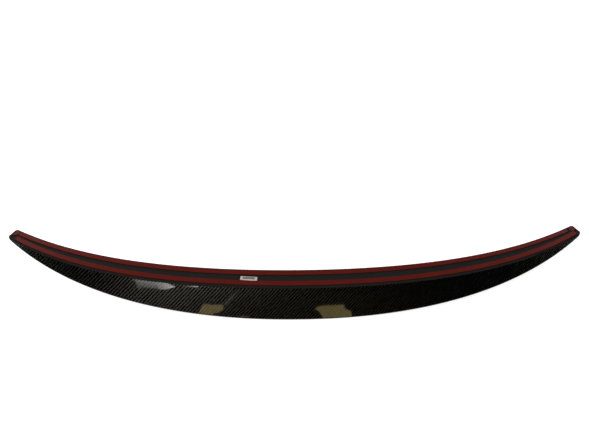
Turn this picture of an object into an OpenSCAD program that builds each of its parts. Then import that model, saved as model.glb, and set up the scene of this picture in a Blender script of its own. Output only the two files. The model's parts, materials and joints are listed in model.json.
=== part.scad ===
// Boot-lid rear spoiler, lying upside down on its lip and its two tips.
// X runs along the spoiler, +Y points to the front of the car, +Z is up.
// The origin is at the middle of the footprint, on the ground.

/* [Plan form] */
// Length over the two rear corners, before they are rounded
length = 1200; // [1100:10:1300]
// Forward bow of the ends, the part that grows with the square of the span
bow = 53; // [40:0.5:70]
// Further forward bow, which only the outer thirds show
tip_bow = 41.5; // [30:0.5:50]
// Rise of the ends over the middle, which follows the crown of the boot lid
crown = 28; // [20:1:34]
// How much shorter than the rear edge the front edge is at each end
end_cut = 1; // [0.5:0.5:8]
// Radius of the corners in plan
corner_r = 5; // [2:0.5:7]

/* [Mounting face] */
// Width of the mounting face in the middle
face_w_mid = 47.5; // [44:0.5:54]
// Width of the mounting face at the ends
face_w_end = 33; // [32:1:36]
// Power of the span at which the mounting face narrows
face_taper = 6; // [4:0.5:10]
// Angle of the mounting face across its width, in the middle
face_tilt_angle = 4; // [0:1:8]
// How much more it tilts at the ends, where the boot lid rolls down
face_twist_angle = 14; // [8:1:18]

/* [Rear face and lip] */
// Depth of the rear face in the middle, down to the end of the lip
lip_h_mid = 70.5; // [60:0.5:80]
// Depth of the rear face at the ends
lip_h_end = 5; // [5:0.5:8]
// Power of the span at which the lip falls away to the ends
lip_fall = 2.2; // [2:0.05:3]
// Rake of the rear face in the middle, from square to the mounting face
rake_angle_mid = 26; // [20:1:32]
// Rake of the rear face at the ends
rake_angle_end = 18; // [12:1:24]
// Nose radius of the lip
nose_r = 2.5; // [2:0.1:2.8]
// Hollow of the top surface under a straight line from front edge to lip
scoop = 9.5; // [6:0.5:12]
// Thickness of the front edge, panel and shell together
front_edge_t = 3.6; // [3.2:0.1:4.5]

/* [Walls] */
// Laminate thickness of the shell
shell_t = 2; // [1.6:0.1:2]
// Thickness of the base panel
panel_t = 1.5; // [1.2:0.1:1.6]
// Glue line between the shell's rim and the base panel
glue_t = 0.2; // [0.1:0.05:0.3]
// Width of the front rim that the panel is glued to
front_land = 8; // [6:0.5:9]
// Width of the thickened rear rim that the panel is glued to
rear_land = 5; // [3:0.5:6]
// Length of solid laminate at each end
solid_end = 60; // [55:5:80]
// Slope of the cavity's end walls along the span
cavity_draft = 6; // [3:1:10]
// Edge chamfer of the base panel
panel_chamfer = 0.4; // [0.2:0.1:0.6]

/* [Tape] */
// Width of the tape
tape_w = 12; // [10:0.5:13]
// Thickness of the foam
foam_t = 1.1; // [0.8:0.1:1.6]
// Thickness of the release film
liner_t = 0.15; // [0.1:0.05:0.2]
// How far the film stays inside the foam's edge
liner_inset = 0.3; // [0.1:0.1:0.5]
// Clearance under each layer that is stuck on
layer_gap = 0.05; // [0.03:0.01:0.1]
// Bare margin in front of the front tape, in the left half
front_margin = 3; // [1:0.1:4]
// Bare margin in front of the front tape at the right end, to which the tape runs askew
front_margin_right = 0.9; // [0.8:0.1:3]
// Bare margin behind the rear tape, in the middle
rear_margin = 5.2; // [3:0.1:7]
// Bare margin behind the rear tape at the ends
rear_margin_end = 1.5; // [1:0.1:4]
// Bare margin outside the end pieces
end_margin = 3.5; // [2:0.1:5]
// Width of the end pieces along the span
end_tape_w = 10; // [8:0.1:13]
// Distance from the right end to the rear tape
rear_tape_stop = 9; // [7:0.1:12]
// Distance from the left end to the rear tape
rear_tape_left_stop = 16.5; // [15:0.1:20]
// Open joint between the front tape and the left end piece
left_joint = 0.9; // [0.6:0.1:2]
// Where the slanting rear cut of the left end piece starts on the inner side, from the front
left_cut_inner = 17; // [14:0.5:20]
// Where that cut ends on the outer side
left_cut_outer = 26; // [20:0.5:28]
// Open joint between the front tape and the right end piece
right_joint = 5; // [1:0.1:6]
// Closed butt joint between the rear tape and the right end piece
butt_joint = 0.3; // [0.2:0.1:0.5]

/* [Label] */
// Length of the label
label_l = 34; // [25:1:45]
// Width of the label
label_w = 10; // [6:0.5:11]
// Thickness of the label
label_t = 0.15; // [0.1:0.05:0.2]
// Distance of the label's middle from the middle of the spoiler, to the left
label_off = 93; // [40:1:200]
// Clearance between the label's nearest corner and the rear tape
label_gap = 0.2; // [0.2:0.1:1]
// How far the label is turned, clockwise as seen on the face
label_turn_angle = 2.5; // [0:0.5:5]

/* [Hidden] */

half_span = length / 2;
rim_depth = panel_t + glue_t;         // depth of the shell's rim under the mounting face
corner_q = 1 - corner_r / half_span;  // where the plan corners begin
cavity_q = 1 - solid_end / half_span; // where the cavity ends
draft_q = cavity_draft / half_span;
mid_facet = 0.02;                     // half of the flat facet in the middle
bays = 32;                            // bays in each half of the hollow part
end_bays = 4;                         // bays in the solid part
corner_bays = 4;                      // bays round a plan corner
top_steps = 9;                        // steps along the top surface
nose_steps = 6;                       // steps round the lip's nose
face_steps = 5;                       // steps across the base panel
turn_guess = 25;                      // angle that the resting turn is searched from
turn_tries = 4;
same_place = 0.0005;                  // places closer than this count as one

// Places along one half, as fractions of the half span, 0 in the middle and 1 at the end
half_stations = concat(
    [for (i = [0:bays]) mid_facet + (cavity_q - mid_facet) * i / bays],
    [for (i = [0:end_bays]) cavity_q + draft_q + (corner_q - cavity_q - draft_q) * i / end_bays],
    [for (i = [1:corner_bays]) corner_q + (1 - corner_q) * sin(90 * i / corner_bays)]);
last = len(half_stations) - 1;
stations = concat([for (i = [last:-1:0]) -half_stations[i]], half_stations);

// Plan form and section sizes at a place q along the half span
function face_w(q) = face_w_mid - (face_w_mid - face_w_end) * pow(q, face_taper);
function lip_h(q) = lip_h_mid - (lip_h_mid - lip_h_end) * pow(q, lip_fall);
function rake(q) = rake_angle_mid - (rake_angle_mid - rake_angle_end) * q * q;
function tilt(q) = face_tilt_angle + face_twist_angle * q * q;
function corner_in(q) = q <= corner_q ? 0
    : corner_r * (1 - sqrt(max(0, 1 - pow((q - corner_q) / (1 - corner_q), 2))));

// A point of the mounting frame: s along the span from -1 to 1, v back from the front edge
// and d down from the mounting face, before the spoiler is laid on the ground
function spot(s, v, d) = let (lean = tilt(abs(s))) [
    s * (half_span - end_cut + end_cut * v / face_w_end),
    bow * s * s + tip_bow * pow(s, 4) - v * cos(lean) - d * sin(lean),
    crown * s * s + v * sin(lean) - d * cos(lean)];

// Section of the shell at q, as [v, d] points. The frame of the section holds the rear
// corner, the nose's centre, the start of the top surface and the tangent at the nose.
function section(q) = let (
        front_v = corner_in(q),
        rear_v = face_w(q) - corner_in(q),
        lean = rake(q),
        down = [sin(lean), cos(lean)],
        nose = [rear_v, 0] + (lip_h(q) - nose_r) * down + nose_r * [-cos(lean), sin(lean)],
        start = [front_v, front_edge_t],
        chord = norm(nose - start),
        sag = scoop * (lip_h(q) - lip_h_end) / (lip_h_mid - lip_h_end),
        end_slope = atan2(nose[1] - start[1], nose[0] - start[0]) + atan(4 * sag / chord))
    [front_v, rear_v, lean, nose, start, sag, end_slope];

// Point and upward normal of the top surface at u, from the front edge to the nose
function top_point(k, u) = let (
        finish = k[3] + nose_r * [-sin(k[6]), cos(k[6])],
        run = finish - k[4],
        up = [run[1], -run[0]] / norm(run))
    k[4] + run * u + up * 4 * u * (1 - u) * k[5];
function top_normal(k, u) = let (
        ahead = top_point(k, min(1, u + 0.01)) - top_point(k, max(0, u - 0.01)))
    [ahead[1], -ahead[0]] / norm(ahead);

// Point on the rear face at depth d, moved inwards by t
function rear_point(k, d, t = 0) = [k[1] + d * tan(k[2]) - t / cos(k[2]), d];
// Depth at which the thickened rear rim has run out into the wall
function land_depth(k) = let (nose_from = k[3][1] - nose_r * sin(k[2]))
    rim_depth + min(rear_land, (nose_from - rim_depth) / 2);
// Points round the nose with radius r, from the top surface to the rear face
function nose_arc(k, r) = [for (i = [1:nose_steps])
    let (a = k[6] + 90 - (k[6] + 90 + k[2]) * i / nose_steps) k[3] + r * [cos(a), sin(a)]];

// Outer path: front rim, top surface, nose, rear face, rear rim
function outer_path(k) = concat(
    [[k[0], rim_depth]],
    [for (i = [0:top_steps]) top_point(k, i / top_steps)],
    nose_arc(k, nose_r),
    [rear_point(k, land_depth(k)), rear_point(k, rim_depth)]);
// Inner path of the hollow part, point for point beside the outer path
function inner_path(k) = let (
        u_land = (front_land + shell_t / 2) / (k[3][0] - k[4][0]))
    concat(
        [[k[0] + front_land, rim_depth]],
        [for (i = [0:top_steps]) let (u = u_land + (1 - u_land) * i / top_steps)
            top_point(k, u) + shell_t * top_normal(k, u)],
        nose_arc(k, nose_r - shell_t),
        [rear_point(k, land_depth(k), shell_t), rear_point(k, rim_depth) - [rear_land, 0]]);
// Inner path where the laminate is solid: a straight line from rim to rim
function closed_path(k) = let (
        from = [k[0], rim_depth] + [front_land / 3, 0],
        to = rear_point(k, rim_depth) - [rear_land / 3, 0],
        n = top_steps + nose_steps + 3)
    [for (i = [0:n]) from + (to - from) * i / n];

// Row of points from one place in the section to another, across the mounting face
function row(from, to) = [for (i = [0:face_steps]) from + (to - from) * i / face_steps];

function shell_ring(s) = let (
        k = section(abs(s)),
        inner = abs(s) < cavity_q + same_place ? inner_path(k) : closed_path(k))
    [for (p = concat(outer_path(k), [for (i = [len(inner) - 1:-1:0]) inner[i]]))
        spot(s, p[0], p[1])];

// Laying on the ground: the spoiler turns about its lip until the lip's middle and the
// outer half of the span both touch
shell_rings = [for (s = stations) shell_ring(s)];
middle_ring = shell_rings[last];
outer_rings = [for (i = [0:last]) if (half_stations[last - i] > 0.5) each shell_rings[i]];
function height(p, turn) = p[2] * cos(turn) - p[1] * sin(turn);
function lowest(points, turn) = let (
        low = min([for (p = points) height(p, turn)]))
    [for (p = points) if (height(p, turn) <= low) p][0];
function settled(turn, tries) = let (
        p = lowest(middle_ring, turn),
        next = min([for (q = outer_rings) atan2(q[2] - p[2], q[1] - p[1])]))
    tries == 0 ? next : settled(next, tries - 1);
ground_turn = settled(turn_guess, turn_tries);

function laid(p) = [p[0], p[1] * cos(ground_turn) + p[2] * sin(ground_turn),
    height(p, ground_turn)];
// Box of everything, with the panel and the stuck-on layers on top
face_corners = [for (s = stations) for (v = [corner_in(abs(s)), face_w(abs(s)) - corner_in(abs(s))])
    laid(spot(s, v, 0))];
every_point = concat([for (r = shell_rings) for (p = r) laid(p)], face_corners);
y_mid = (min([for (p = every_point) p[1]]) + max([for (p = every_point) p[1]])) / 2;
z_low = min([for (p = every_point) p[2]]);
function place(p) = laid(p) - [0, y_mid, z_low];

// Solid through equal rings of points, with an end cap's faces given as ring places. Each
// bay is cut along its shorter diagonal, so that layers on a twisted face are cut alike.
module loft(rings, cap) {
    n = len(rings[0]);
    p = [for (r = rings) each r];
    start = [for (f = cap) [for (i = [len(f) - 1:-1:0]) f[i]]];
    side = [for (i = [0:len(rings) - 2]) for (j = [0:n - 1])
        let (a = i * n + j, b = i * n + (j + 1) % n)
        each norm(p[a] - p[b + n]) < norm(p[b] - p[a + n])
            ? [[a, b + n, a + n], [a, b, b + n]] : [[a, b, a + n], [b, b + n, a + n]]];
    finish = [for (f = cap) [for (i = f) i + (len(rings) - 1) * n]];
    polyhedron(points = p, faces = concat(start, side, finish), convexity = 6);
}

// Layer on the mounting face between the places in list, from v_from to v_to and from
// height low to height high over the face; both edges are functions of the place
module layer(list, v_from, v_to, low, high) {
    loft([for (s = list) [for (c = [[v_from(s), low], [v_to(s), low], [v_to(s), high],
        [v_from(s), high]]) place(spot(s, c[0], -c[1]))]], [[0, 1, 2, 3]]);
}

// Places from s_from to s_to: the two ends and all the stations between them
function places(s_from, s_to) = concat([s_from],
    [for (s = stations) if (s > s_from + same_place && s < s_to - same_place) s], [s_to]);

// How much longer a width square to the bow is when it is measured straight back
function spread(q) = let (slope = (2 * bow * q + 4 * tip_bow * pow(q, 3)) / half_span)
    sqrt(1 + slope * slope);
// Margins in front of the front tape and behind the rear tape at a place
function bare_front(s) = front_margin - (front_margin - front_margin_right) * max(0, s);
function bare_rear(s) = rear_margin
    - (rear_margin - rear_margin_end) * pow(abs(s), face_taper);
// Edges of the tapes at a place, each moved inwards by inset
function front_tape_from(s, inset) = (bare_front(s) + inset) * spread(abs(s));
function front_tape_to(s, inset) = (bare_front(s) + tape_w - inset) * spread(abs(s));
function rear_tape_from(s, inset) = face_w(abs(s))
    - (bare_rear(s) + tape_w - inset) * spread(abs(s));
function rear_tape_to(s, inset) = face_w(abs(s)) - (bare_rear(s) + inset) * spread(abs(s));

// Places of the cut ends
end_out = 1 - end_margin / half_span;
end_in = end_out - end_tape_w / half_span;
front_tape_left = end_in - left_joint / half_span;
front_tape_right = end_in - right_joint / half_span;
rear_tape_right = 1 - rear_tape_stop / half_span;
rear_tape_left = 1 - rear_tape_left_stop / half_span;
foam_low = layer_gap;
foam_high = foam_low + foam_t;
liner_low = foam_high + layer_gap;
liner_high = liner_low + liner_t;

module front_tape(inset, low, high) {
    step = inset / half_span;
    layer(places(-front_tape_left + step, front_tape_right - step),
        function (s) front_tape_from(s, inset), function (s) front_tape_to(s, inset),
        low, high);
}

module rear_tape(inset, low, high) {
    step = inset / half_span;
    layer(places(-rear_tape_left + step, rear_tape_right - step),
        function (s) rear_tape_from(s, inset), function (s) rear_tape_to(s, inset),
        low, high);
}

// Rear edge of the left end piece, which is cut on the slant, and of the right one, which
// stops at the rear tape
function left_cut(s) = left_cut_inner
    + (left_cut_outer - left_cut_inner) * (abs(s) - end_in) / (end_out - end_in);
function right_cut(s) = rear_tape_from(s, 0) - butt_joint;

// Cross piece at one end, side -1 or 1
module end_tape(side, inset, low, high) {
    step = inset / half_span;
    near = end_in + step;
    far = end_out - step;
    layer(side < 0 ? places(-far, -near) : places(near, far),
        function (s) front_tape_from(s, inset) + corner_in(abs(s)),
        function (s) (side < 0 ? left_cut(s) : right_cut(s)) - inset,
        low, high);
}

module carbon_shell() {
    color([0.05, 0.05, 0.055]) {
        n = top_steps + nose_steps + 4;
        cap = [for (i = [0:n - 2]) let (a = i, b = i + 1, c = 2 * n - 1 - i)
            each i < n - 2 ? [[a, b, c], [b, c - 1, c]] : [[a, b, c - 1], [a, c - 1, c]]];
        loft([for (r = shell_rings) [for (p = r) place(p)]], cap);
    }
}

module base_panel() {
    color([0.13, 0.13, 0.12]) {
        loft([for (s = stations) let (
                k = section(abs(s)),
                c = panel_chamfer,
                under = row([k[0], panel_t], rear_point(k, panel_t)),
                over = row([k[1] - c, 0], [k[0] + c, 0]))
            [for (p = concat(under, [rear_point(k, c)], over, [[k[0], c]]))
                place(spot(s, p[0], p[1]))]],
            [[for (i = [0:2 * face_steps + 3]) i]]);
    }
}

module front_tape_foam() {
    color([0.1, 0.09, 0.09]) front_tape(0, foam_low, foam_high);
}

module front_tape_liner() {
    color([0.42, 0.12, 0.1]) front_tape(liner_inset, liner_low, liner_high);
}

module rear_tape_foam() {
    color([0.1, 0.09, 0.09]) rear_tape(0, foam_low, foam_high);
}

module rear_tape_liner() {
    color([0.42, 0.12, 0.1]) rear_tape(liner_inset, liner_low, liner_high);
}

module left_end_tape_foam() {
    color([0.1, 0.09, 0.09]) end_tape(-1, 0, foam_low, foam_high);
}

module left_end_tape_liner() {
    color([0.42, 0.12, 0.1]) end_tape(-1, liner_inset, liner_low, liner_high);
}

module right_end_tape_foam() {
    color([0.1, 0.09, 0.09]) end_tape(1, 0, foam_low, foam_high);
}

module right_end_tape_liner() {
    color([0.42, 0.12, 0.1]) end_tape(1, liner_inset, liner_low, liner_high);
}

// The label is turned a little about its middle and touches the rear tape with one corner
module label() {
    middle = -label_off / half_span;
    reach = label_l / 2 / half_span;
    rear = rear_tape_from(middle, 0) - label_gap - label_l / 2 * sin(label_turn_angle);
    color([0.75, 0.73, 0.68]) loft([for (s = places(middle - reach, middle + reach))
        [for (c = [[0, 0], [1, 0], [1, 1], [0, 1]])
            let (back = c[0] * label_w - label_w, along = (s - middle) * half_span)
            place(spot(
                middle + (along * cos(label_turn_angle) - back * sin(label_turn_angle)) / half_span,
                rear + back * cos(label_turn_angle) + along * sin(label_turn_angle),
                -layer_gap - c[1] * label_t))]],
        [[0, 1, 2, 3]]);
}

carbon_shell();
base_panel();
front_tape_foam();
front_tape_liner();
rear_tape_foam();
rear_tape_liner();
left_end_tape_foam();
left_end_tape_liner();
right_end_tape_foam();
right_end_tape_liner();
label();
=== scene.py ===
import json
import math
import bpy
from mathutils import Matrix, Vector


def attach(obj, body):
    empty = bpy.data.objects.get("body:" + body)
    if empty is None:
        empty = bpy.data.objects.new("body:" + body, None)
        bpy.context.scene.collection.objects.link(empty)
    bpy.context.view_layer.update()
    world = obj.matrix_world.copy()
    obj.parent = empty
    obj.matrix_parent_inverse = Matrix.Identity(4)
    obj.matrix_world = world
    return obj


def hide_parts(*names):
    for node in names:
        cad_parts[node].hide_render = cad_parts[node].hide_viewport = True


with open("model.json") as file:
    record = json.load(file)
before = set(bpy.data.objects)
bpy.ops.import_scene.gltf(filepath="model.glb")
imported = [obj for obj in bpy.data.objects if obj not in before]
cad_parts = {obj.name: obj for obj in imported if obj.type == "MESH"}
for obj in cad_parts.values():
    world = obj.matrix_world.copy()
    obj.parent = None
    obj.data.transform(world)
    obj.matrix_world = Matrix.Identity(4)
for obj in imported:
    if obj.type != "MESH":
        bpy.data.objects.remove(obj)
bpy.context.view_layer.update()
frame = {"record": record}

mm = 0.001

# The form of the spoiler, in millimetres and degrees
form = {
    "halfSpan": 600.0,      # half the length over the rear corners
    "bow": 53.0,            # forward bow of the ends
    "tipBow": 41.5,         # further bow of the outer thirds
    "crown": 28.0,          # rise of the ends over the middle
    "endCut": 1.0,          # how much shorter the front edge is at each end
    "cornerR": 5.0,         # plan corners
    "faceWMid": 47.5,       # width of the mounting face
    "faceWEnd": 33.0,
    "faceTaper": 6.0,
    "faceTilt": 4.0,
    "faceTwist": 14.0,      # further tilt at the ends
    "lipHMid": 70.5,        # depth of the rear face
    "lipHEnd": 5.0,
    "lipFall": 2.2,
    "rakeMid": 26.0,        # rear face from square to the mounting face
    "rakeEnd": 18.0,
    "noseR": 2.5,
    "scoop": 9.5,           # hollow of the top surface
    "frontEdgeT": 3.6,
    "shellT": 2.0,
    "panelT": 1.5,
    "glueT": 0.2,
    "frontLand": 8.0,
    "rearLand": 5.0,
    "solidEnd": 60.0,
    "cavityDraft": 6.0,
}
tape = {
    "width": 12.0, "foamT": 1.1, "filmT": 0.15, "filmInset": 0.3, "gap": 0.05,
    "frontMargin": 3.0, "frontMarginRight": 0.9, "rearMargin": 5.2, "rearMarginEnd": 1.5,
    "endMargin": 3.5, "endWidth": 10.0, "rearStop": 9.0, "rearLeftStop": 16.5,
    "leftJoint": 0.9, "rightJoint": 5.0, "buttJoint": 0.3,
    "leftCutInner": 17.0, "leftCutOuter": 26.0,
}
rimDepth = form["panelT"] + form["glueT"]
cornerQ = 1 - form["cornerR"] / form["halfSpan"]
cavityQ = 1 - form["solidEnd"] / form["halfSpan"]
draftQ = form["cavityDraft"] / form["halfSpan"]


def faceW(q):
    return form["faceWMid"] - (form["faceWMid"] - form["faceWEnd"]) * q ** form["faceTaper"]


def lipH(q):
    return form["lipHMid"] - (form["lipHMid"] - form["lipHEnd"]) * q ** form["lipFall"]


def rake(q):
    return math.radians(form["rakeMid"] - (form["rakeMid"] - form["rakeEnd"]) * q * q)


def faceLean(q):
    return math.radians(form["faceTilt"] + form["faceTwist"] * q * q)


def cornerIn(q):
    t = max(0.0, (q - cornerQ) / (1 - cornerQ))
    return form["cornerR"] * (1 - math.sqrt(max(0.0, 1 - t * t)))


def spread(q):  # how much longer a width square to the bow is when measured straight back
    slope = (2 * form["bow"] * q + 4 * form["tipBow"] * q ** 3) / form["halfSpan"]
    return math.sqrt(1 + slope * slope)


def rearTapeFrom(s):
    q = abs(s)
    margin = tape["rearMargin"] - (tape["rearMargin"] - tape["rearMarginEnd"]) * q ** form["faceTaper"]
    return faceW(q) - (margin + tape["width"]) * spread(q)


def spot(s, v, d):  # s along the span, v back from the front edge, d down from the face
    lean = faceLean(abs(s))
    return Vector((
        s * (form["halfSpan"] - form["endCut"] + form["endCut"] * v / form["faceWEnd"]),
        form["bow"] * s * s + form["tipBow"] * s ** 4 - v * math.cos(lean) - d * math.sin(lean),
        form["crown"] * s * s + v * math.sin(lean) - d * math.cos(lean)))


# The record's tape mount says how the spoiler is turned and where it lies
tapeMount = next(m for m in frame["record"]["mounts"] if m["name"] == "tape_face")
midFacetQ = 0.02
groundTurn = math.atan2(tapeMount["axis"][1], tapeMount["axis"][2]) - faceLean(midFacetQ)
filmTop = 2 * tape["gap"] + tape["foamT"] + tape["filmT"]
mountV = faceW(midFacetQ) - (tape["rearMargin"] + tape["width"] / 2) * spread(midFacetQ)
mountSpot = spot(midFacetQ, mountV, -filmTop)
layMatrix = Matrix.Rotation(-groundTurn, 3, "X")
layShift = Vector((0, *tapeMount["pos_m"][1:])) / mm - layMatrix @ Vector((0, *mountSpot[1:]))


def place(s, v, d):
    return (layMatrix @ spot(s, v, d) + layShift) * mm


print("ground turn", round(math.degrees(groundTurn), 3), "shift", [round(c, 3) for c in layShift])

# Camera of the photograph
photo = {"width": 589, "height": 442, "x": 0.27, "y": -184.0, "z": 914.9,
         "down": 72.0, "roll": -0.41, "lens": 27.05, "sensor": 36.0}


def makeCamera(c):
    down, roll = math.radians(c["down"]), math.radians(c["roll"])
    ahead = Vector((0, math.cos(down), -math.sin(down)))
    side = Vector((1, 0, 0))
    up = side.cross(ahead)
    right = side * math.cos(roll) + up * math.sin(roll)
    above = up * math.cos(roll) - side * math.sin(roll)
    data = bpy.data.cameras.new("photoCamera")
    data.lens = c["lens"]
    data.sensor_width = c["sensor"]
    data.clip_start = 0.01
    cam = bpy.data.objects.new("photoCamera", data)
    turned = Matrix((right, above, -ahead)).transposed().to_4x4()
    cam.matrix_world = Matrix.Translation(Vector((c["x"], c["y"], c["z"])) * mm) @ turned
    bpy.context.scene.collection.objects.link(cam)
    bpy.context.scene.camera = cam
    return cam


camera = makeCamera(photo)
print("camera made")


# Numbers of a node tree that can be added and multiplied like plain ones
class Num:
    def __init__(self, tree, socket):
        self.tree, self.socket = tree, socket

    def feed(self, value, socket):
        if isinstance(value, Num):
            self.tree.links.new(value.socket, socket)
        else:
            socket.default_value = value

    def math(self, operation, *others, flip=False):
        node = self.tree.nodes.new("ShaderNodeMath")
        node.operation = operation
        values = [self, *others]
        if flip:
            values.reverse()
        for value, socket in zip(values, node.inputs):
            self.feed(value, socket)
        return Num(self.tree, node.outputs[0])

    def __add__(self, other):
        return self.math("ADD", other)

    def __radd__(self, other):
        return self.math("ADD", other)

    def __sub__(self, other):
        return self.math("SUBTRACT", other)

    def __rsub__(self, other):
        return self.math("SUBTRACT", other, flip=True)

    def __mul__(self, other):
        return self.math("MULTIPLY", other)

    def __rmul__(self, other):
        return self.math("MULTIPLY", other)

    def __truediv__(self, other):
        return self.math("DIVIDE", other)

    def __pow__(self, other):
        return self.math("POWER", other)

    def __abs__(self):
        return self.math("ABSOLUTE")

    def over(self, limit):
        return self.math("GREATER_THAN", limit)

    def under(self, limit):
        return self.math("LESS_THAN", limit)

    def wrap(self, size):
        return self.math("FLOORED_MODULO", size)


def joinSocket(tree, value, socket):
    if isinstance(value, Num):
        tree.links.new(value.socket, socket)
    elif isinstance(value, bpy.types.NodeSocket):
        tree.links.new(value, socket)
    else:
        socket.default_value = value


def addNode(tree, kind, values=None, **settings):
    node = tree.nodes.new(kind)
    for name, value in settings.items():
        setattr(node, name, value)
    for key, value in (values or {}).items():
        joinSocket(tree, value, node.inputs[key])
    return node


# Materials
def newMaterial(name):
    material = bpy.data.materials.new(name)
    material.use_nodes = True
    tree = material.node_tree
    return material, tree, tree.nodes["Principled BSDF"]


def srgb(r, g, b):
    def linear(c):
        c /= 255
        return c / 12.92 if c <= 0.04045 else ((c + 0.055) / 1.055) ** 2.4
    return (linear(r), linear(g), linear(b), 1.0)


def mixColour(tree, factor, a, b):
    node = addNode(tree, "ShaderNodeMix", data_type="RGBA")
    joinSocket(tree, factor, node.inputs[0])
    joinSocket(tree, a, node.inputs[6])
    joinSocket(tree, b, node.inputs[7])
    return node.outputs[2]


def noise(tree, vector, scale, detail):
    node = addNode(tree, "ShaderNodeTexNoise", {"Vector": vector, "Scale": scale, "Detail": detail})
    return Num(tree, node.outputs[0])


def addBump(tree, shader, height, strength, depth):
    bump = addNode(tree, "ShaderNodeBump", {"Height": height, "Strength": strength, "Distance": depth})
    tree.links.new(bump.outputs[0], shader.inputs["Normal"])


def objectCoords(tree, stretch=(1, 1, 1)):
    coords = addNode(tree, "ShaderNodeTexCoord")
    mapping = addNode(tree, "ShaderNodeMapping", {"Vector": coords.outputs["Object"], "Scale": stretch})
    return mapping.outputs[0]


def clothCoords(tree):
    cloth = addNode(tree, "ShaderNodeUVMap", uv_map="cloth")
    split = addNode(tree, "ShaderNodeSeparateXYZ", {"Vector": cloth.outputs[0]})
    return Num(tree, split.outputs[0]), Num(tree, split.outputs[1])


weave = {
    "towAlong": 1.72,       # width of a tow along the span, mm
    "towDown": 1.95,        # width of a tow down the rear face, mm
    "period": 4.0,          # tows after which the twill repeats
    "onTop": 1.5,           # of these, 0 and 1 lie on top and 2 and 3 below
    # painted highlight and painted shade: the tows that run down get a pale colour and those that run
    # along a nearly black one, for how the two directions of one and the same fibre catch the light
    "litDownTow": srgb(92, 91, 86),
    "shadedAlongTow": srgb(4, 4, 4),
    "roughness": 0.3,       # with the anisotropy, a spread of 0.13 across a tow and 0.06 along it
    "roughnessSpread": 0.08,
    "anisotropy": 0.556,
    "bump": 0.25,
    "bumpDepth": 0.0002,
    "fibres": 400.0,        # times fibreScale, noise cells a metre
    "fibreScale": 2.0,
    "fibreDetail": 2.0,
    "coatRoughness": 0.02,
    "coatIor": 1.5,
}


def carbonMaterial():
    material, tree, shader = newMaterial("twillCarbonClearCoat")
    alongCloth, downCloth = clothCoords(tree)
    across = alongCloth / weave["towAlong"]    # counts the tows that run down
    down = downCloth / weave["towDown"]        # counts the tows that run along
    column, row = across.math("FLOOR"), down.math("FLOOR")
    downOnTop = (column + row).wrap(weave["period"]).under(weave["onTop"])
    # height of the tow on top, rounded across
    roundDown = 1 - ((across - column) * 2 - 1) ** 2.0
    roundAlong = 1 - ((down - row) * 2 - 1) ** 2.0
    height = roundAlong + downOnTop * (roundDown - roundAlong)
    addBump(tree, shader, height, weave["bump"], weave["bumpDepth"])
    fibreCoords = objectCoords(tree, (weave["fibres"],) * 3)
    fibres = noise(tree, fibreCoords, weave["fibreScale"], weave["fibreDetail"])
    # painted light: pale where a down-running tow lies on top, nearly black where an along-running tow
    # does
    colour = mixColour(tree, downOnTop, weave["shadedAlongTow"], weave["litDownTow"])
    tangent = addNode(tree, "ShaderNodeTangent", direction_type="UV_MAP", uv_map="cloth")
    tree.links.new(colour, shader.inputs["Base Color"])
    tree.links.new(tangent.outputs[0], shader.inputs["Tangent"])
    quarterTurn = 0.25
    joinSocket(tree, (1 - downOnTop) * quarterTurn, shader.inputs["Anisotropic Rotation"])
    roughness = (fibres - 0.5) * weave["roughnessSpread"] + weave["roughness"]
    joinSocket(tree, roughness, shader.inputs["Roughness"])
    shader.inputs["Anisotropic"].default_value = weave["anisotropy"]
    shader.inputs["Metallic"].default_value = 1.0
    shader.inputs["Coat Weight"].default_value = 1.0
    shader.inputs["Coat Roughness"].default_value = weave["coatRoughness"]
    shader.inputs["Coat IOR"].default_value = weave["coatIor"]
    return material


# Plain finishes: a colour between dark and light after a wide cloud and a fine grain
panel = {"dark": srgb(22, 22, 20), "light": srgb(32, 31, 29), "roughness": 0.75,
         "grain": 900.0, "grainDepth": 0.0002, "specular": 0.12}
foam = {"dark": srgb(16, 12, 11), "light": srgb(28, 21, 19), "roughness": 0.9,
        "grain": 1500.0, "grainDepth": 0.0003, "specular": 0.2}
plain = {"cloud": 18.0, "cloudDetail": 4.0, "cloudShare": 0.6, "grainDetail": 3.0, "grainShare": 0.4,
         "bump": 0.6, "roughnessSpread": 0.2}


def plainMaterial(name, finish):
    material, tree, shader = newMaterial(name)
    coords = objectCoords(tree)
    cloud = noise(tree, coords, plain["cloud"], plain["cloudDetail"])
    fine = noise(tree, coords, finish["grain"], plain["grainDetail"])
    shade = cloud * plain["cloudShare"] + fine * plain["grainShare"]
    tree.links.new(mixColour(tree, shade, finish["dark"], finish["light"]), shader.inputs["Base Color"])
    addBump(tree, shader, fine, plain["bump"], finish["grainDepth"])
    roughness = (fine - 0.5) * plain["roughnessSpread"] + finish["roughness"]
    joinSocket(tree, roughness, shader.inputs["Roughness"])
    shader.inputs["Specular IOR Level"].default_value = finish["specular"]
    return material


film = {
    "dark": srgb(73, 17, 11), "light": srgb(91, 25, 19), "roughness": 0.35, "specular": 0.06,
    "streaks": (6, 60, 60),     # drawn out along the span
    "streakScale": 6.0, "streakDetail": 3.0, "cloud": 30.0, "cloudDetail": 4.0,
    "bump": 0.5, "bumpDepth": 0.0006,
}


def filmMaterial():
    material, tree, shader = newMaterial("redReleaseFilm")
    streaks = noise(tree, objectCoords(tree, film["streaks"]), film["streakScale"], film["streakDetail"])
    cloud = noise(tree, objectCoords(tree), film["cloud"], film["cloudDetail"])
    colour = mixColour(tree, streaks * 0.5 + cloud * 0.5, film["dark"], film["light"])
    tree.links.new(colour, shader.inputs["Base Color"])
    addBump(tree, shader, streaks, film["bump"], film["bumpDepth"])
    shader.inputs["Roughness"].default_value = film["roughness"]
    shader.inputs["Specular IOR Level"].default_value = film["specular"]
    return material


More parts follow.
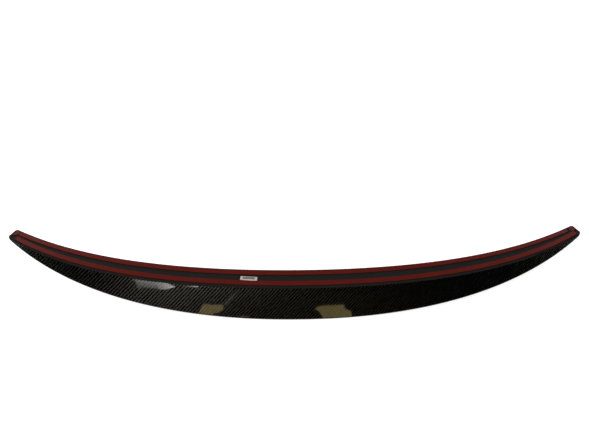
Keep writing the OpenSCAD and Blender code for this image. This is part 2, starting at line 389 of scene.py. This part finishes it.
label = {"length": 34.0, "width": 10.0, "thick": 0.15, "off": 93.0, "gap": 0.2, "turn": 2.5,
         "paper": srgb(160, 152, 144), "paperLight": srgb(184, 177, 168), "print": srgb(48, 44, 42),
         "lines": 3, "sideBorder": 4.6, "frontBorder": 1.5, "rearBorder": 3.2,
         "lineFill": 0.78,      # share of a line's height that is printed
         "letter": 2.2, "letterScale": 2.0, "letterDetail": 1.0, "letterLimit": 0.36,
         "rowStep": 7,          # rows this far apart in the noise, so that lines differ
         "grain": 220.0, "grainDetail": 3.0, "roughness": 0.6}
labelMiddle = -label["off"] / form["halfSpan"]
labelTurn = math.radians(label["turn"])
labelRear = rearTapeFrom(labelMiddle) - label["gap"] - label["length"] / 2 * math.sin(labelTurn)


def labelMaterial():
    material, tree, shader = newMaterial("labelPaper")
    x, v = clothCoords(tree)
    x = x + label["off"]
    v = v - labelRear + label["width"]  # from the label's front edge
    field = label["width"] - label["frontBorder"] - label["rearBorder"]
    inField = (abs(x).under(label["length"] / 2 - label["sideBorder"])
               * v.over(label["frontBorder"]) * v.under(label["width"] - label["rearBorder"]))
    line = (v - label["frontBorder"]) / (field / label["lines"])
    inLine = line.wrap(1.0).under(label["lineFill"])
    lineRow = addNode(tree, "ShaderNodeCombineXYZ", {
        0: x / label["letter"], 1: line.math("FLOOR") * label["rowStep"]})
    letters = noise(tree, lineRow.outputs[0], label["letterScale"], label["letterDetail"])
    letters = letters.over(label["letterLimit"])
    grain = noise(tree, objectCoords(tree), label["grain"], label["grainDetail"])
    paper = mixColour(tree, grain, label["paper"], label["paperLight"])
    tree.links.new(mixColour(tree, inField * inLine * letters, paper, label["print"]),
                   shader.inputs["Base Color"])
    shader.inputs["Roughness"].default_value = label["roughness"]
    return material


materials = {
    "gloss_carbon": carbonMaterial(),
    "matte_panel": plainMaterial("mattePanel", panel),
    "tape_foam": plainMaterial("acrylicFoam", foam),
    "release_film": filmMaterial(),
    "label_paper": labelMaterial(),
}
print("materials made")


# Shell: loft through sections, point for point as the moulding's walls run
shell = {
    "stationsHalf": 110, "crowding": 1.7, "topSteps": 30, "noseSteps": 14, "rearSteps": 8,
    "rearFirst": 0.01,      # a first row close to the nose, which keeps the shading even there
    "edgeR": 0.8, "edgeSteps": 4,
    "normalStep": 0.01,     # share of the top surface over which its slope is read
    "clearOfCavity": 0.004, # stations nearer than this to the cavity's end are left out
    "sharpAngle": 35.0,
}


def sectionOf(q):
    front, rear, lean = cornerIn(q), faceW(q) - cornerIn(q), rake(q)
    depth = lipH(q)
    r = form["noseR"]
    nose = (Vector((rear, 0)) + (depth - r) * Vector((math.sin(lean), math.cos(lean)))
            + r * Vector((-math.cos(lean), math.sin(lean))))
    start = Vector((front, form["frontEdgeT"]))
    run = nose - start
    sag = form["scoop"] * (depth - form["lipHEnd"]) / (form["lipHMid"] - form["lipHEnd"])
    slope = math.atan2(run.y, run.x) + math.atan(4 * sag / run.length)
    return {"front": front, "rear": rear, "lean": lean, "nose": nose, "start": start,
            "sag": sag, "slope": slope}


def topPoint(k, u):
    finish = k["nose"] + form["noseR"] * Vector((-math.sin(k["slope"]), math.cos(k["slope"])))
    run = finish - k["start"]
    up = Vector((run.y, -run.x)).normalized()
    return k["start"] + run * u + up * 4 * u * (1 - u) * k["sag"]


def topNormal(k, u):
    step = shell["normalStep"]
    run = topPoint(k, min(1, u + step)) - topPoint(k, max(0, u - step))
    return Vector((run.y, -run.x)).normalized()


def noseArc(k, r):
    start, end = k["slope"] + math.pi / 2, -k["lean"]
    steps = shell["noseSteps"]
    turns = [start + (end - start) * i / steps for i in range(1, steps + 1)]
    return [k["nose"] + r * Vector((math.cos(a), math.sin(a))) for a in turns]


def rearPoint(k, d, t=0.0):
    return Vector((k["rear"] + d * math.tan(k["lean"]) - t / math.cos(k["lean"]), d))


def landDepth(k):
    noseFrom = k["nose"].y - form["noseR"] * math.sin(k["lean"])
    return rimDepth + min(form["rearLand"], (noseFrom - rimDepth) / 2)


def outerPath(k):
    r, n = shell["edgeR"], shell["edgeSteps"]
    rounded = []
    for i in range(n + 1):  # front edge, rounded into the top surface
        a = math.pi / 2 * i / n
        rounded.append(Vector((k["front"] + r * (1 - math.cos(a)),
                               form["frontEdgeT"] - r + r * math.sin(a))))
    uFrom = r / (k["nose"].x - k["start"].x)
    steps = shell["topSteps"]
    top = [topPoint(k, uFrom + (1 - uFrom) * i / steps) for i in range(1, steps + 1)]
    noseFrom = k["nose"].y - form["noseR"] * math.sin(k["lean"])
    shares = [shell["rearFirst"]] + [i / shell["rearSteps"] for i in range(1, shell["rearSteps"] + 1)]
    rear = [rearPoint(k, noseFrom + (rimDepth - noseFrom) * share) for share in shares]
    return [Vector((k["front"], rimDepth))] + rounded + top + noseArc(k, form["noseR"]) + rear


def innerPath(k, hollow, count):
    rimFront = Vector((k["front"] + form["frontLand"], rimDepth))
    rimRear = rearPoint(k, rimDepth) - Vector((form["rearLand"], 0))
    if not hollow:  # solid laminate: the path runs straight from rim to rim
        a = Vector((k["front"] + form["frontLand"] / 3, rimDepth))
        b = rearPoint(k, rimDepth) - Vector((form["rearLand"] / 3, 0))
        return [a.lerp(b, i / (count - 1)) for i in range(count)]
    uLand = (form["frontLand"] + form["shellT"] / 2) / (k["nose"].x - k["start"].x)
    rimPoints = 3  # one in front and two behind
    topCount = count - shell["noseSteps"] - rimPoints
    top = []
    for i in range(topCount):
        u = uLand + (1 - uLand) * i / (topCount - 1)
        top.append(topPoint(k, u) + form["shellT"] * topNormal(k, u))
    return ([rimFront] + top + noseArc(k, form["noseR"] - form["shellT"])
            + [rearPoint(k, landDepth(k), form["shellT"]), rimRear])


def shellStations():
    n = shell["stationsHalf"]
    half = [1 - (1 - i / n) ** shell["crowding"] for i in range(1, n + 1)]
    clear = shell["clearOfCavity"]
    half = [q for q in half if abs(q - cavityQ) > clear and abs(q - cavityQ - draftQ) > clear]
    half = sorted(half + [cavityQ, cavityQ + draftQ])
    half = [(q, q <= cavityQ) for q in half if not cavityQ < q < cavityQ + draftQ]
    return [(-q, hollow) for q, hollow in reversed(half)] + [(0.0, True)] + half


def makeShell():
    points, cloth, ringSize = [], [], 0
    stations = shellStations()
    for s, hollow in stations:
        k = sectionOf(abs(s))
        outer = outerPath(k)
        inner = innerPath(k, hollow, len(outer))
        path = outer + inner[::-1]
        ringSize = len(path)
        away = [0.0]  # distance down the cloth, counted from the rear rim
        for a, b in zip(reversed(outer), list(reversed(outer))[1:]):
            away.append(away[-1] + (b - a).length)
        away = away[::-1] + [0.0] * len(inner)
        for p, down in zip(path, away):
            points.append(place(s, p.x, p.y))
            cloth.append((s * form["halfSpan"], down))
    half = ringSize // 2
    faces = []
    for i in range(len(stations) - 1):
        for j in range(ringSize):
            a, b = i * ringSize + j, i * ringSize + (j + 1) % ringSize
            faces.append((a, a + ringSize, b + ringSize, b))
    for base, flip in ((0, False), ((len(stations) - 1) * ringSize, True)):
        for j in range(half - 1):
            face = [base + j, base + j + 1, base + ringSize - 2 - j, base + ringSize - 1 - j]
            faces.append(tuple(reversed(face) if flip else face))
    mesh = bpy.data.meshes.new("carbonShell")
    mesh.from_pydata(points, [], faces)
    mesh.validate()
    layer = mesh.uv_layers.new(name="cloth")
    for loop in mesh.loops:
        layer.data[loop.index].uv = cloth[loop.vertex_index]
    mesh.materials.append(materials["gloss_carbon"])
    mesh.shade_smooth()
    mesh.set_sharp_from_angle(angle=math.radians(shell["sharpAngle"]))
    piece = bpy.data.objects.new("carbonShell", mesh)
    bpy.context.scene.collection.objects.link(piece)
    return piece


carbonShell = makeShell()
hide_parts("carbon_shell")
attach(carbonShell, "root")
print("shell made:", len(carbonShell.data.polygons), "faces")


# Layers on the mounting face: one node tree bends a block to the bow of the face. Each of
# its two long edges is a sum of these parts, times the inputs of the same names.
edgeParts = ("Offset", "Slope", "Width", "Corner", "Spread", "Askew", "Taper")
layerInputs = ([("From", -1.0), ("To", 1.0), ("End Crowding", 1.0)]
               + [(edge + " " + part, 0.0) for edge in ("Front", "Rear") for part in edgeParts]
               + [("Rear Lean", 0.0), ("Low", 0.0), ("High", 1.0), ("Edge Radius", 0.2),
                  ("Turn", 0.0), ("Turn Place", 0.0), ("Turn Back", 0.0)])
layerSteps = {"panel": (260, 26), "long": (240, 10), "short": (14, 10), "label": (24, 12)}
layerEdgeR = {"panel": 0.6, "foam": 0.25, "film": 0.06, "label": 0.05}
layerSharpAngle = 40.0


def layerTree():
    tree = bpy.data.node_groups.new("faceLayer", "GeometryNodeTree")
    face = tree.interface
    face.new_socket("Geometry", in_out="OUTPUT", socket_type="NodeSocketGeometry")
    for name, value in (("Along", 200), ("Across", 12)):
        face.new_socket(name, in_out="INPUT", socket_type="NodeSocketInt").default_value = value
    for name, value in layerInputs:
        face.new_socket(name, in_out="INPUT", socket_type="NodeSocketFloat").default_value = value
    face.new_socket("Finish", in_out="INPUT", socket_type="NodeSocketMaterial")
    given = tree.nodes.new("NodeGroupInput")

    def take(name):
        return Num(tree, given.outputs[name])

    block = addNode(tree, "GeometryNodeMeshCube", {
        "Vertices X": given.outputs["Along"], "Vertices Y": given.outputs["Across"], "Vertices Z": 2})
    position = addNode(tree, "GeometryNodeInputPosition")
    split = addNode(tree, "ShaderNodeSeparateXYZ", {0: position.outputs[0]})
    blockX, blockY, blockZ = (Num(tree, split.outputs[i]) for i in range(3))
    # along the span, closer together at the ends where End Crowding is over 1
    side = (blockX * 1000).math("SIGN")
    eased = (1 - (1 - abs(blockX) * 2).math("MAXIMUM", 0.0) ** take("End Crowding")) * side
    middle, reach = (take("To") + take("From")) / 2, (take("To") - take("From")) / 2
    s = middle + reach * eased
    q = abs(s)
    taper = q ** form["faceTaper"]
    width = form["faceWMid"] - (form["faceWMid"] - form["faceWEnd"]) * taper
    t = ((q - cornerQ) / (1 - cornerQ)).math("MAXIMUM", 0.0)
    corner = form["cornerR"] * (1 - (1 - t * t).math("MAXIMUM", 0.0).math("SQRT"))
    slope = (q * (2 * form["bow"]) + q * q * q * (4 * form["tipBow"])) / form["halfSpan"]
    longer = (1 + slope * slope).math("SQRT")

    def edgeLine(edge):
        bare = (take(edge + " Spread") + take(edge + " Askew") * s.math("MAXIMUM", 0.0)
                + take(edge + " Taper") * taper)
        return (take(edge + " Offset") + take(edge + " Slope") * q + take(edge + " Width") * width
                + take(edge + " Corner") * corner + bare * longer)

    front, rear = edgeLine("Front"), edgeLine("Rear")
    # across the face, closer together at the two edges
    across = 0.5 - (blockY * math.pi).math("SINE") / 2
    toEdge = across.math("MINIMUM", 1 - across) * (rear - front)
    inside = (1 - toEdge / take("Edge Radius")).math("MAXIMUM", 0.0)
    drop = take("Edge Radius") * (1 - (1 - inside * inside).math("MAXIMUM", 0.0).math("SQRT"))
    d = 0 - (take("Low") + (take("High") - take("Low") - drop) * (blockZ + 0.5))
    rakeAngle = (form["rakeMid"] - (form["rakeMid"] - form["rakeEnd"]) * q * q).math("RADIANS")
    lean = rakeAngle.math("TANGENT")
    v = front + (rear - front) * across + take("Rear Lean") * across * lean * d
    flat = addNode(tree, "ShaderNodeCombineXYZ", {0: s * form["halfSpan"], 1: v})
    # turned in its own plane
    turnCos, turnSin = take("Turn").math("COSINE"), take("Turn").math("SINE")
    along, back = (s - take("Turn Place")) * form["halfSpan"], v - take("Turn Back")
    s = take("Turn Place") + (along * turnCos - back * turnSin) / form["halfSpan"]
    v = take("Turn Back") + back * turnCos + along * turnSin
    # the face itself, then laid on the ground
    tilt = (form["faceTilt"] + form["faceTwist"] * s * s).math("RADIANS")
    tiltCos, tiltSin = tilt.math("COSINE"), tilt.math("SINE")
    x = s * (form["halfSpan"] - form["endCut"] + v * (form["endCut"] / form["faceWEnd"]))
    y = form["bow"] * s * s + form["tipBow"] * s * s * s * s - v * tiltCos - d * tiltSin
    z = form["crown"] * s * s + v * tiltSin - d * tiltCos
    c, n = math.cos(groundTurn), math.sin(groundTurn)
    laid = addNode(tree, "ShaderNodeCombineXYZ", {
        0: x * mm, 1: (y * c + z * n + layShift.y) * mm, 2: (z * c - y * n + layShift.z) * mm})
    mapped = addNode(tree, "GeometryNodeStoreNamedAttribute",
                     {"Geometry": block.outputs["Mesh"], "Name": "cloth", "Value": flat.outputs[0]},
                     data_type="FLOAT2", domain="CORNER")
    bent = addNode(tree, "GeometryNodeSetPosition", {
        "Geometry": mapped.outputs[0], "Position": laid.outputs[0]})
    real = addNode(tree, "GeometryNodeRealizeInstances", {0: bent.outputs[0]})
    finish = addNode(tree, "GeometryNodeSetMaterial", {
        "Geometry": real.outputs[0], "Material": given.outputs["Finish"]})
    out = tree.nodes.new("NodeGroupOutput")
    tree.links.new(finish.outputs[0], out.inputs[0])
    return tree


faceLayer = layerTree()
inputIds = {item.name: item.identifier for item in faceLayer.interface.items_tree
            if item.in_out == "INPUT"}


def makeLayer(name, node, slotName, steps, values):
    along, across = layerSteps[steps]
    holder = bpy.data.objects.new(name + "Maker", bpy.data.meshes.new(name + "Maker"))
    bpy.context.scene.collection.objects.link(holder)
    modifier = holder.modifiers.new("layer", "NODES")
    modifier.node_group = faceLayer
    modifier[inputIds["Along"]] = along
    modifier[inputIds["Across"]] = across
    modifier[inputIds["Finish"]] = materials[slotName]
    for key, value in values.items():
        modifier[inputIds[key]] = float(value)
    bpy.context.view_layer.update()
    mesh = bpy.data.meshes.new_from_object(holder.evaluated_get(bpy.context.evaluated_depsgraph_get()))
    holder.modifiers.remove(modifier)
    bpy.data.objects.remove(holder)
    mesh.name = name
    mesh.shade_smooth()
    mesh.set_sharp_from_angle(angle=math.radians(layerSharpAngle))
    piece = bpy.data.objects.new(name, mesh)
    bpy.context.scene.collection.objects.link(piece)
    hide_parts(node)
    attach(piece, "root")
    print(name, "made:", len(mesh.polygons), "faces")


makeLayer("basePanel", "base_panel", "matte_panel", "panel", {
    "End Crowding": 1.7, "Front Corner": 1, "Rear Width": 1, "Rear Corner": -1, "Rear Lean": 1,
    "Low": -form["panelT"], "High": 0, "Edge Radius": layerEdgeR["panel"]})

foamLow = tape["gap"]
foamHigh = foamLow + tape["foamT"]
filmLow = foamHigh + tape["gap"]
endOut = 1 - tape["endMargin"] / form["halfSpan"]
endIn = endOut - tape["endWidth"] / form["halfSpan"]
frontEnds = {"left": endIn - tape["leftJoint"] / form["halfSpan"],
             "right": endIn - tape["rightJoint"] / form["halfSpan"]}
rearEnds = {"left": 1 - tape["rearLeftStop"] / form["halfSpan"],
            "right": 1 - tape["rearStop"] / form["halfSpan"]}
frontAskew = tape["frontMarginRight"] - tape["frontMargin"]
rearTaper = tape["rearMargin"] - tape["rearMarginEnd"]
rearReach = tape["rearMargin"] + tape["width"]
leftCutSlope = (tape["leftCutOuter"] - tape["leftCutInner"]) / (endOut - endIn)


def tapeEdges(kind, inset):
    step = inset / form["halfSpan"]
    if kind == "front":
        return {
            "From": step - frontEnds["left"], "To": frontEnds["right"] - step,
            "Front Spread": tape["frontMargin"] + inset, "Front Askew": frontAskew,
            "Rear Spread": tape["frontMargin"] + tape["width"] - inset, "Rear Askew": frontAskew}
    if kind == "rear":
        return {
            "From": step - rearEnds["left"], "To": rearEnds["right"] - step,
            "Front Width": 1, "Front Spread": inset - rearReach, "Front Taper": rearTaper,
            "Rear Width": 1, "Rear Spread": -tape["rearMargin"] - inset, "Rear Taper": rearTaper}
    edges = {"Front Spread": tape["frontMargin"] + inset, "Front Askew": frontAskew, "Front Corner": 1}
    if kind == "left":  # cut on the slant at the back
        cutAtMiddle = tape["leftCutInner"] - leftCutSlope * endIn
        edges.update({
            "From": step - endOut, "To": -endIn - step,
            "Rear Slope": leftCutSlope, "Rear Offset": cutAtMiddle - inset})
    else:               # stops at the rear tape
        edges.update({
            "From": endIn + step, "To": endOut - step,
            "Rear Width": 1, "Rear Spread": -rearReach, "Rear Taper": rearTaper,
            "Rear Offset": -tape["buttJoint"] - inset})
    return edges


for kind in ("front", "rear", "left", "right"):
    steps, joint = ("long", "_tape_") if kind in ("front", "rear") else ("short", "_end_tape_")
    for part, slotName, inset, low, high, edgeR in (
            ("foam", "tape_foam", 0.0, foamLow, foamHigh, layerEdgeR["foam"]),
            ("liner", "release_film", tape["filmInset"], filmLow, filmTop, layerEdgeR["film"])):
        makeLayer(kind + "Tape" + part.title(), kind + joint + part, slotName, steps,
                  {**tapeEdges(kind, inset), "Low": low, "High": high, "Edge Radius": edgeR})

makeLayer("paperLabel", "label", "label_paper", "label", {
    "From": labelMiddle - label["length"] / 2 / form["halfSpan"],
    "To": labelMiddle + label["length"] / 2 / form["halfSpan"],
    "Front Offset": labelRear - label["width"], "Rear Offset": labelRear,
    "Turn": labelTurn, "Turn Place": labelMiddle, "Turn Back": labelRear,
    "Low": tape["gap"], "High": tape["gap"] + label["thick"], "Edge Radius": layerEdgeR["label"]})


# Studio: pale floor, soft lamps, and the dark room with its windows that the clear coat mirrors
studio = {
    "floorSize": 12.0, "floorColour": 0.6, "floorRoughness": 0.9, "floorGlow": 0.75,
    "ambient": 0.5, "roomRadius": 5.0, "roomSegments": 32, "roomRings": 16, "roomGlow": 0.004,
}
lamps = {
    "overheadLamp": {"at": (0, 0.9, 2.2), "size": (2.4, 1.6), "watts": 24},
    "leftWindow": {"at": (-1.7, 0.7, 1.3), "size": (1.0, 1.2), "watts": 20},
}


def seenBackground(tree):  # 1 for the rays that show the background, 0 for those that light the object
    path = addNode(tree, "ShaderNodeLightPath")
    seen = Num(tree, path.outputs["Is Camera Ray"])
    for kind in ("Is Glossy Ray", "Is Transmission Ray"):
        seen = seen.math("MAXIMUM", Num(tree, path.outputs[kind]))
    return seen


def makeFloor():
    bpy.ops.mesh.primitive_plane_add(size=studio["floorSize"], location=(0, 0, 0))
    floor = bpy.context.object
    floor.name = "studioFloor"
    material, tree, shader = newMaterial("paleFloor")
    shade = studio["floorColour"]
    shader.inputs["Base Color"].default_value = (shade, shade, shade, 1)
    shader.inputs["Roughness"].default_value = studio["floorRoughness"]
    shader.inputs["Emission Color"].default_value = (1, 1, 1, 1)
    seen = seenBackground(tree)
    joinSocket(tree, seen * studio["floorGlow"], shader.inputs["Emission Strength"])
    floor.data.materials.append(material)


def makeWorld():
    world = bpy.data.worlds.new("studioWorld")
    bpy.context.scene.world = world
    world.use_nodes = True
    tree = world.node_tree
    seen = seenBackground(tree)
    level = seen + (1 - seen) * studio["ambient"]
    tree.links.new(level.socket, tree.nodes["Background"].inputs["Strength"])
    tree.nodes["Background"].inputs["Color"].default_value = (1, 1, 1, 1)


def makeGlow(name, mesh, colour, strength):  # a stage piece that only mirroring surfaces see
    material, tree, shader = newMaterial(name)
    shader.inputs["Base Color"].default_value = (0, 0, 0, 1)
    shader.inputs["Specular IOR Level"].default_value = 0
    shader.inputs["Emission Color"].default_value = (*colour, 1)
    if strength is None:
        read = addNode(tree, "ShaderNodeAttribute", attribute_name="glow")
        tree.links.new(read.outputs["Fac"], shader.inputs["Emission Strength"])
    else:
        shader.inputs["Emission Strength"].default_value = strength
    mesh.materials.append(material)
    piece = bpy.data.objects.new(name, mesh)
    bpy.context.scene.collection.objects.link(piece)
    piece.visible_camera = False
    piece.visible_diffuse = False
    piece.visible_shadow = False


def makeRoom():  # the dark room that the clear coat mirrors
    bpy.ops.mesh.primitive_uv_sphere_add(
        segments=studio["roomSegments"], ring_count=studio["roomRings"], radius=studio["roomRadius"])
    ball = bpy.context.object
    mesh = ball.data
    bpy.data.objects.remove(ball)
    makeGlow("darkRoom", mesh, (1, 1, 1), studio["roomGlow"])


def makeLamp(name, settings):  # aimed at the middle of the spoiler
    data = bpy.data.lights.new(name, "AREA")
    data.shape = "RECTANGLE"
    data.size, data.size_y = settings["size"]
    data.energy = settings["watts"]
    lamp = bpy.data.objects.new(name, data)
    lamp.location = settings["at"]
    lamp.rotation_euler = (-Vector(settings["at"])).to_track_quat("-Z", "Y").to_euler()
    lamp.visible_camera = False
    lamp.visible_glossy = False
    bpy.context.scene.collection.objects.link(lamp)


# What else the clear coat mirrors: glowing strips, hung where the coat shows their corners at these
# places of the photo. The glow runs from the first corners to the last, and so does "lower", the
# share of it that the other edge has. "rise" lifts the first edge further, in degrees.
paleLight, oliveLight = (1.0, 0.98, 0.94), (1.0, 0.80, 0.31)
cards = {
    "windowSill": {
        "edge": [(131, 278.4), (136, 279.2), (143, 280.2), (157, 282.0)],
        "otherEdge": [(134, 280.0), (139, 291.0), (143, 288.6), (157, 288.6)],
        "rise": 0.0, "colour": paleLight, "glow": (1.6, 3.6), "lower": (0.1, 0.35)},
    "sillEnd": {
        "edge": [(157, 282.0), (163, 283.0), (169, 284.2), (175.4, 286.0)],
        "otherEdge": [(157, 288.6), (161, 289.4), (167, 289.6), (174.6, 286.5)],
        "rise": 0.0, "colour": paleLight, "glow": (3.6, 8.0), "lower": (0.35, 0.9)},
    "sillLine": {
        "edge": [(183, 285.5), (191, 286.0), (192, 286.1), (198.8, 286.4)],
        "otherEdge": [(183, 286.1), (191, 286.6), (192, 286.8), (198.8, 287.1)],
        "rise": 0.0, "colour": paleLight, "glow": (0.5, 9.0), "lower": (1.0, 1.0)},
    "tallWindow": {
        "edge": [(168, 282.6), (200, 286.0), (226, 287.5)],
        "otherEdge": [(168, 282.6), (200, 286.0), (226, 287.5)],
        "rise": 26.0, "colour": paleLight, "glow": (2.5, 2.1), "lower": (1.0, 1.0)},
    "streak": {
        "edge": [(236.8, 289.6), (224.1, 303.4)],
        "otherEdge": [(239.3, 290.2), (226.5, 304.4)],
        "rise": 0.0, "colour": (1.0, 0.85, 0.72), "glow": (0.3, 0.6), "lower": (1.0, 1.0)},
    "oliveLeft": {
        "edge": [(203.5, 304.0), (208, 304.1), (213, 304.3),
                 (214.5, 304.4), (219, 304.5), (223.5, 304.7)],
        "otherEdge": [(197.5, 313.8), (205, 316), (211.5, 315.6),
                      (214, 313.2), (218, 312.5), (223.2, 310)],
        "rise": 0.0, "colour": oliveLight, "glow": (1.8, 2.0), "lower": (0.9, 0.9)},
    "oliveRight": {
        "edge": [(315, 308), (319.5, 306), (325, 305.7),
                 (344, 304.7), (345.5, 309), (351.5, 311.3)],
        "otherEdge": [(315.2, 309), (319.2, 311.5), (323, 318.2),
                      (344, 317.2), (346.5, 317.1), (352.2, 316.8)],
        "rise": 0.0, "colour": oliveLight, "glow": (1.7, 1.9), "lower": (1.0, 1.0)},
    "lowGlint": {
        "edge": [(241, 315.5), (249, 315.9)],
        "otherEdge": [(241, 316.3), (249, 316.7)],
        "rise": 0.0, "colour": oliveLight, "glow": (1.6, 1.6), "lower": (1.0, 1.0)},
}
cardAway = 3.0      # metres from the spoiler to the cards
readStep = 4.0      # pixels between the places where a mirrored ray is read off the open face
openFace = 298.0    # the photo's row that runs over the open face


def mirrorRay(x, y):
    ahead = Vector((x - photo["width"] / 2, photo["height"] / 2 - y,
                    -photo["width"] * photo["lens"] / photo["sensor"]))
    ahead = (camera.matrix_world.to_3x3() @ ahead).normalized()
    _, where, normal, _ = carbonShell.ray_cast(camera.matrix_world.translation, ahead)
    return where, ahead - 2 * ahead.dot(normal) * normal


def cardCorner(x, y, rise):
    step = readStep if y < openFace else -readStep
    (nearSpot, nearWay), (farSpot, farWay) = mirrorRay(x, y + step), mirrorRay(x, y + 2 * step)
    way = nearWay * 2 - farWay
    lift = Matrix.Rotation(math.radians(rise), 3, way.cross(Vector((0, 0, 1))))
    return nearSpot * 2 - farSpot + lift @ way * cardAway


def makeCard(name, card):
    corners = [cardCorner(x, y, card["rise"]) for x, y in card["edge"]]
    corners += [cardCorner(x, y, 0.0) for x, y in card["otherEdge"]]
    count = len(card["edge"])
    mesh = bpy.data.meshes.new(name)
    mesh.from_pydata(corners, [], [(i, i + 1, count + i + 1, count + i) for i in range(count - 1)])
    glows = mesh.attributes.new("glow", "FLOAT", "POINT")
    (glow, lastGlow), (lower, lastLower) = card["glow"], card["lower"]
    for i in range(count):
        part = i / (count - 1)
        level = glow + (lastGlow - glow) * part
        glows.data[i].value = level
        glows.data[i + count].value = level * (lower + (lastLower - lower) * part)
    makeGlow(name, mesh, card["colour"], None)
    print(name, "hung at", [round(c, 2) for c in corners[0]])


makeFloor()
makeWorld()
makeRoom()
for name, settings in lamps.items():
    makeLamp(name, settings)
bpy.context.view_layer.update()
for name, card in cards.items():
    makeCard(name, card)
print("studio made")

bpy.context.scene.view_settings.view_transform = "Standard"

print("done")
